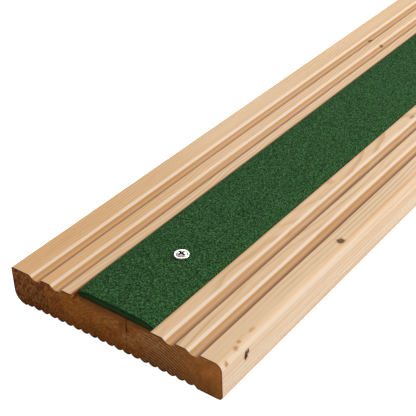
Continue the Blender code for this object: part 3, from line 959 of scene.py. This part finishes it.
class DECK_OT_laminate(bpy.types.Operator):
    """Models the glass-reinforced laminate under the grit"""

    bl_idname = "deck.laminate"
    bl_label = "Strip laminate"

    def execute(self, context):
        sizes = context.scene.deck_strip_sizes
        low, high = LAMINATE_LOW, LAMINATE_HIGH
        full = high.z - low.z
        laminate = add_block("laminate_core", low, high)
        columns = [low.x + (high.x - low.x) * step / 36 for step in range(1, 36)]
        slice_at(columns, 0)
        lift(laminate, lambda v: v.co.z > high.z - TINY,
             lambda x: strip_rise(sizes, x, sizes.laminate_edge, full) - full)
        pick(laminate, "EDGE", lambda e: abs(e.verts[0].co.y - e.verts[1].co.y) > 0.5)
        bpy.ops.mesh.subdivide(number_cuts=99)
        finish_edit()
        displace(laminate, clouds("laminate_waves", 0.006), 0.00008, "NORMAL")
        trim_near_end(laminate)
        smooth_by_angle(laminate, 35)
        material = laminate_material(context.scene.deck_finishes,
                                     bpy.data.node_groups["mottle"])
        hand_over(laminate, material, "strip_laminate")
        return {"FINISHED"}


class DECK_OT_grit(bpy.types.Operator):
    """Models the resin-bonded grit on the strip"""

    bl_idname = "deck.grit"
    bl_label = "Grit topcoat"

    def execute(self, context):
        sizes = context.scene.deck_strip_sizes
        low, high = GRIT_LOW, GRIT_HIGH
        deselect_all()
        columns, rows = 68, 1120
        bpy.ops.mesh.primitive_grid_add(x_subdivisions=columns, y_subdivisions=rows, size=1.0)
        grit = bpy.context.object
        grit.name = "grit_surface"
        grit.data.name = "grit_surface"
        grit.scale = (high.x - low.x, high.y - low.y, 1.0)
        grit.location = ((low.x + high.x) / 2, 0.0, 0.0)
        bpy.ops.object.transform_apply(location=True, rotation=True, scale=True)
        laminate_full = LAMINATE_HIGH.z - LAMINATE_LOW.z
        gap = low.z - (LAMINATE_LOW.z + sizes.laminate_edge)
        full = high.z - LAMINATE_HIGH.z - gap

        def underside(x):
            return LAMINATE_LOW.z + gap + strip_rise(sizes, x, sizes.laminate_edge,
                                                     laminate_full)

        for vertex in grit.data.vertices:
            x = vertex.co.x
            vertex.co.z = underside(x) + strip_rise(sizes, x, sizes.grit_edge, full)
        # The sheet's rim goes down to the laminate, which closes the coat from below.
        edit(grit)
        pick(grit, "EDGE", lambda e: e.is_boundary)
        bpy.ops.mesh.extrude_region_move(TRANSFORM_OT_translate={"value": (0, 0, -0.0004)})
        rim = [v.index for v in bmesh.from_edit_mesh(grit.data).verts if v.select]
        bpy.ops.mesh.extrude_region_move(TRANSFORM_OT_translate={"value": (0, 0, -0.0001)})
        finish_edit()
        base = [v.index for v in grit.data.vertices if v.select]
        for index in base:
            vertex = grit.data.vertices[index]
            vertex.co.z = underside(vertex.co.x)
        edit(grit)
        pick(grit, "EDGE", lambda e: e.is_boundary)
        bpy.ops.mesh.edge_face_add()
        finish_edit()
        raised = grit.vertex_groups.new(name="raised")
        fixed = set(rim) | set(base)
        top = [v for v in grit.data.vertices if v.index not in fixed]
        raised.add([v.index for v in top], 1.0, "REPLACE")
        for inset, share in ((0.0022, 0.6), (0.0012, 0.3)):
            calm = [v.index for v in top if STRIP_HALF - abs(v.co.x - STRIP_MIDDLE) < inset]
            raised.add(calm, share, "REPLACE")
        displace(grit, clouds("grains", sizes.grain_size, 1), sizes.grain_height, "Z", "raised",
                 0.30)
        grit.vertex_groups.clear()
        trim_near_end(grit)
        smooth_by_angle(grit, 60)
        material = grit_material(context.scene.deck_finishes, bpy.data.node_groups["mottle"])
        hand_over(grit, material, "grit_topcoat")
        return {"FINISHED"}


def revolve(name, profile, steps=64):
    """A turned piece about Z from (radius, height) points, running down its outer side."""
    deselect_all()
    bpy.ops.mesh.primitive_plane_add(size=0.001)
    piece = bpy.context.object
    piece.name = name
    piece.data.name = name
    work = bmesh.new()
    points = [work.verts.new((radius, 0.0, height)) for radius, height in profile]
    for first, second in zip(points, points[1:]):
        work.edges.new((first, second))
    work.to_mesh(piece.data)
    work.free()
    edit(piece)
    bpy.ops.mesh.select_all(action="SELECT")
    bpy.ops.mesh.spin(steps=steps, angle=2 * math.pi, center=(0, 0, 0), axis=(0, 0, 1))
    bpy.ops.mesh.select_all(action="SELECT")
    bpy.ops.mesh.remove_doubles(threshold=1e-6)
    bpy.ops.mesh.normals_make_consistent(inside=False)
    finish_edit()
    return piece


def round_points(centre, radius, start, end, steps):
    points = []
    for step in range(steps + 1):
        angle = math.radians(start + (end - start) * step / steps)
        points.append((centre[0] + radius * math.cos(angle), centre[1] + radius * math.sin(angle)))
    return points


def move_to(piece, place):
    piece.data.transform(Matrix.Translation(place))


class DECK_OT_washers(bpy.types.Operator):
    """Models a turned cup washer under each screw"""

    bl_idname = "deck.washers"
    bl_label = "Cup washers"

    def execute(self, context):
        sizes = context.scene.deck_fixing_sizes
        finish = context.scene.deck_finishes
        material = steel_material(finish, bpy.data.node_groups["mottle"])
        recess_dirt_and_shade = dirt_and_shade_material(finish, bpy.data.node_groups["mottle"])
        for number in SCREW_NUMBERS:
            low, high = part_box(f"cup_washer_{number}")
            outer = (high.x - low.x) / 2
            mouth, bore = sizes.mouth / 2, sizes.bore / 2
            base = high.z - sizes.flange
            edge = 0.00055
            lip = 0.00012
            profile = [(bore, low.z), (bore, high.z - (mouth - bore))]
            profile += [(mouth - lip, high.z - lip), (mouth, high.z - lip * 0.2)]
            profile += [(mouth + lip, high.z)]
            profile += round_points((outer - edge, high.z - edge), edge, 90, 0, 8)
            profile += [(outer, base + 0.0001), (outer - 0.0001, base)]
            collar = bore + (mouth - bore) - sizes.flange + 0.0006
            profile += [(collar, base), (collar, low.z), (bore, low.z)]
            washer = revolve(f"turned_washer_{number}", profile)
            washer.data.materials.clear()
            washer.data.materials.append(material)
            washer.data.materials.append(recess_dirt_and_shade)
            # Painted shade: the seat inside the washer's mouth takes the dark recess material.
            edit(washer)
            pick(washer, "FACE", lambda f: f.normal.z > 0.3 and max(
                math.hypot(v.co.x, v.co.y) for v in f.verts) < mouth - lip * 0.5)
            washer.active_material_index = 1
            bpy.ops.object.material_slot_assign()
            finish_edit()
            move_to(washer, ((low.x + high.x) / 2, (low.y + high.y) / 2, 0.0))
            smooth_by_angle(washer, 40)
            hand_over(washer, material, f"cup_washer_{number}")
        return {"FINISHED"}


class DECK_OT_screws(bpy.types.Operator):
    """Models a raised-head wood screw with a cross recess in each washer"""

    bl_idname = "deck.screws"
    bl_label = "Wood screws"

    turns = (1.28, 0.30, 0.62)

    def execute(self, context):
        sizes = context.scene.deck_fixing_sizes
        recess_dirt_and_shade = bpy.data.materials["dirt_and_shade_coat"]
        for number in SCREW_NUMBERS:
            low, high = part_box(f"screw_{number}")
            head = (high.x - low.x) / 2
            rim = high.z - sizes.dome - 0.0002
            dome_radius = (head ** 2 + sizes.dome ** 2) / (2 * sizes.dome)
            profile = self.head_points(sizes, head, rim, dome_radius, high.z)
            profile += self.shank_points(sizes, head, rim, low.z)
            screw = revolve(f"wood_screw_{number}", profile, 48)
            recess = self.cross(sizes, high.z)
            cut = screw.modifiers.new("recess", "BOOLEAN")
            cut.operation = "DIFFERENCE"
            cut.object = recess
            apply_modifiers(screw)
            bpy.data.objects.remove(recess)
            screw.data.materials.clear()
            screw.data.materials.append(bpy.data.materials["turned_stainless"])
            screw.data.materials.append(recess_dirt_and_shade)
            dome_top = high.z

            def in_recess(face):
                middle = face.calc_center_median()
                out = math.hypot(middle.x, middle.y)
                dome = dome_top - dome_radius + math.sqrt(dome_radius ** 2 - out ** 2)
                return (out < sizes.recess_span / 2 + 0.0002 and middle.z < dome - 0.00002
                        and middle.z > rim - 0.0012)

            # Painted shade: the faces of the cross recess take the dark recess material.
            edit(screw)
            pick(screw, "FACE", in_recess)
            screw.active_material_index = 1
            bpy.ops.object.material_slot_assign()
            finish_edit()
            screw.data.transform(Matrix.Rotation(self.turns[number - 1], 4, "Z"))
            move_to(screw, ((low.x + high.x) / 2, (low.y + high.y) / 2, 0.0))
            smooth_by_angle(screw, 30)
            hand_over(screw, bpy.data.materials["turned_stainless"], f"screw_{number}")
        return {"FINISHED"}

    @staticmethod
    def head_points(sizes, head, rim, dome_radius, top):
        """The head from the middle of its dome, over its edge and down its cone."""
        softened = 0.00012
        reach = math.asin((head - softened) / dome_radius)
        points = []
        for step in range(15):
            angle = reach * step / 14
            points.append((dome_radius * math.sin(angle),
                           top - dome_radius * (1 - math.cos(angle))))
        points += [(head, top - sizes.dome - softened / 2), (head, rim)]
        return points + [(head - 0.0001, rim - 0.0001)]

    @staticmethod
    def shank_points(sizes, head, rim, tip):
        """The shank from the foot of the head's cone, with a ring for each turn of thread."""
        core, thread, pitch = sizes.core / 2, sizes.thread / 2, sizes.pitch
        cone_foot = rim - (head - core)
        plain_shank = 0.0015
        shank_end = tip + 0.0030
        points = [(core, cone_foot)]
        turns = int((cone_foot - plain_shank - shank_end) / pitch)
        for turn in range(turns, 0, -1):
            top = shank_end + turn * pitch
            points += [(core, top), (thread, top - pitch * 0.30),
                       (thread, top - pitch * 0.36), (core, top - pitch * 0.66)]
        return points + [(core, shank_end), (core * 0.55, tip + 0.0011), (0.0, tip)]

    @staticmethod
    def cross(sizes, top):
        """The cutter for a tapered cross recess, its arms drawn out of a centre block."""
        half = sizes.recess_arm / 2
        above = 0.0010
        cutter = add_block("recess_cutter", Vector((-half, -half, top - sizes.recess_depth)),
                           Vector((half, half, top + above)))
        reach = sizes.recess_span / 2 * 1.14
        for across, along in ((1, 0), (-1, 0), (0, 1), (0, -1)):
            way = Vector((across, along, 0))
            # Only the block's own face is drawn out, not the sides of arms already made.
            pick(cutter, "FACE", lambda f: f.normal.dot(way) > 0.9
                 and abs(f.calc_center_median().x * along) < TINY
                 and abs(f.calc_center_median().y * across) < TINY)
            bpy.ops.mesh.extrude_region_move(
                TRANSFORM_OT_translate={"value": way * (reach - half)})
        pick(cutter, "VERT", lambda v: v.co.z < top - sizes.recess_depth + TINY
             and max(abs(v.co.x), abs(v.co.y)) > half + TINY)
        bpy.ops.transform.resize(value=(0.66, 0.66, 1.0), center_override=(0, 0, 0))
        bpy.ops.mesh.select_all(action="SELECT")
        bpy.ops.mesh.normals_make_consistent(inside=False)
        finish_edit()
        return cutter


# ---------------------------------------------------------------- stage

class DECK_OT_stage(bpy.types.Operator):
    """Sets the floor, the lights and the camera"""

    bl_idname = "deck.stage"
    bl_label = "Stage"

    def execute(self, context):
        scene = context.scene
        self.floor()
        self.lights(scene)
        self.camera(scene)
        scene.view_settings.view_transform = "Standard"
        return {"FINISHED"}

    @staticmethod
    def floor():
        deselect_all()
        bpy.ops.mesh.primitive_plane_add(size=30.0, location=(0, 0, -0.0002))
        floor = bpy.context.object
        floor.name = "floor"
        material, graph, shader, place = new_material("pale_floor")
        shader.inputs["Base Color"].default_value = (0.80, 0.80, 0.80, 1.0)
        shader.inputs["Roughness"].default_value = 0.9
        seen = graph.add("LightPath").outputs["Is Camera Ray"]
        shader.inputs["Emission Color"].default_value = (1.0, 1.0, 1.0, 1.0)
        graph.plug(shader.inputs["Emission Strength"], graph.math("MULTIPLY", seen, 1.0))
        floor.data.materials.append(material)

    @staticmethod
    def lights(scene):
        world = bpy.data.worlds.new("soft_sky")
        world.use_nodes = True
        background = world.node_tree.nodes["Background"]
        background.inputs["Color"].default_value = (1.0, 0.965, 0.915, 1.0)
        background.inputs["Strength"].default_value = 0.45
        scene.world = world
        target = Vector((0.0, NEAR_END + 0.20, 0.0))
        lamps = (
            ("key", Vector((2.10, 1.90, 2.05)), 0.90, 122.0, (1.0, 0.975, 0.94)),
            ("back_card", Vector((-1.30, 1.70, 1.45)), 1.40, 26.0, (1.0, 0.98, 0.96)),
        )
        for name, place, size, power, colour in lamps:
            lamp = bpy.data.lights.new(name, "AREA")
            lamp.shape = "DISK"
            lamp.size = size
            lamp.energy = power
            lamp.color = colour
            holder = bpy.data.objects.new(name, lamp)
            holder.location = target + place
            holder.rotation_euler = (-place).to_track_quat("-Z", "Y").to_euler()
            scene.collection.objects.link(holder)

    @staticmethod
    def camera(scene):
        lens = bpy.data.cameras.new("camera")
        lens.sensor_width = 36.0
        lens.lens = 89.91
        lens.clip_start = 0.01
        camera = bpy.data.objects.new("camera", lens)
        right = Vector((0.805599, 0.591716, -0.029691))
        ahead = Vector((-0.507197, 0.662895, -0.550746)).normalized()
        up = right.cross(ahead).normalized()
        right = ahead.cross(up)
        turn = Matrix((right, up, -ahead)).transposed().to_4x4()
        place = Vector((0.30042, NEAR_END - 0.30452, 0.36742))
        camera.matrix_world = Matrix.Translation(place) @ turn
        scene.collection.objects.link(camera)
        scene.camera = camera


class DECK_PT_panel(bpy.types.Panel):
    """Lists the pieces of the decking board"""

    bl_idname = "DECK_PT_panel"
    bl_label = "Decking board"
    bl_space_type = "VIEW_3D"
    bl_region_type = "UI"
    bl_category = "Decking"

    def draw(self, context):
        scene = context.scene
        for operator in OPERATORS:
            self.layout.operator(operator.bl_idname)
        for group in (scene.deck_board_sizes, scene.deck_strip_sizes,
                      scene.deck_fixing_sizes, scene.deck_finishes):
            box = self.layout.box()
            for name in group.bl_rna.properties.keys():
                if name not in ("rna_type", "name"):
                    box.prop(group, name)


OPERATORS = (DECK_OT_board, DECK_OT_laminate, DECK_OT_grit, DECK_OT_washers, DECK_OT_screws,
             DECK_OT_stage)
SETTINGS = {
    "deck_board_sizes": BoardSizes,
    "deck_strip_sizes": StripSizes,
    "deck_fixing_sizes": FixingSizes,
    "deck_finishes": Finishes,
}


def register():
    for group in SETTINGS.values():
        bpy.utils.register_class(group)
    for operator in OPERATORS:
        bpy.utils.register_class(operator)
    bpy.utils.register_class(DECK_PT_panel)
    for name, group in SETTINGS.items():
        setattr(bpy.types.Scene, name, bpy.props.PointerProperty(type=group))


def unregister():
    for name in SETTINGS:
        delattr(bpy.types.Scene, name)
    bpy.utils.unregister_class(DECK_PT_panel)
    for operator in reversed(OPERATORS):
        bpy.utils.unregister_class(operator)
    for group in SETTINGS.values():
        bpy.utils.unregister_class(group)


def main():
    register()
    mottle_group()
    patch_group()
    bpy.ops.deck.board()
    bpy.ops.deck.laminate()
    bpy.ops.deck.grit()
    bpy.ops.deck.washers()
    bpy.ops.deck.screws()
    bpy.ops.deck.stage()


if __name__ == "__main__":
    main()
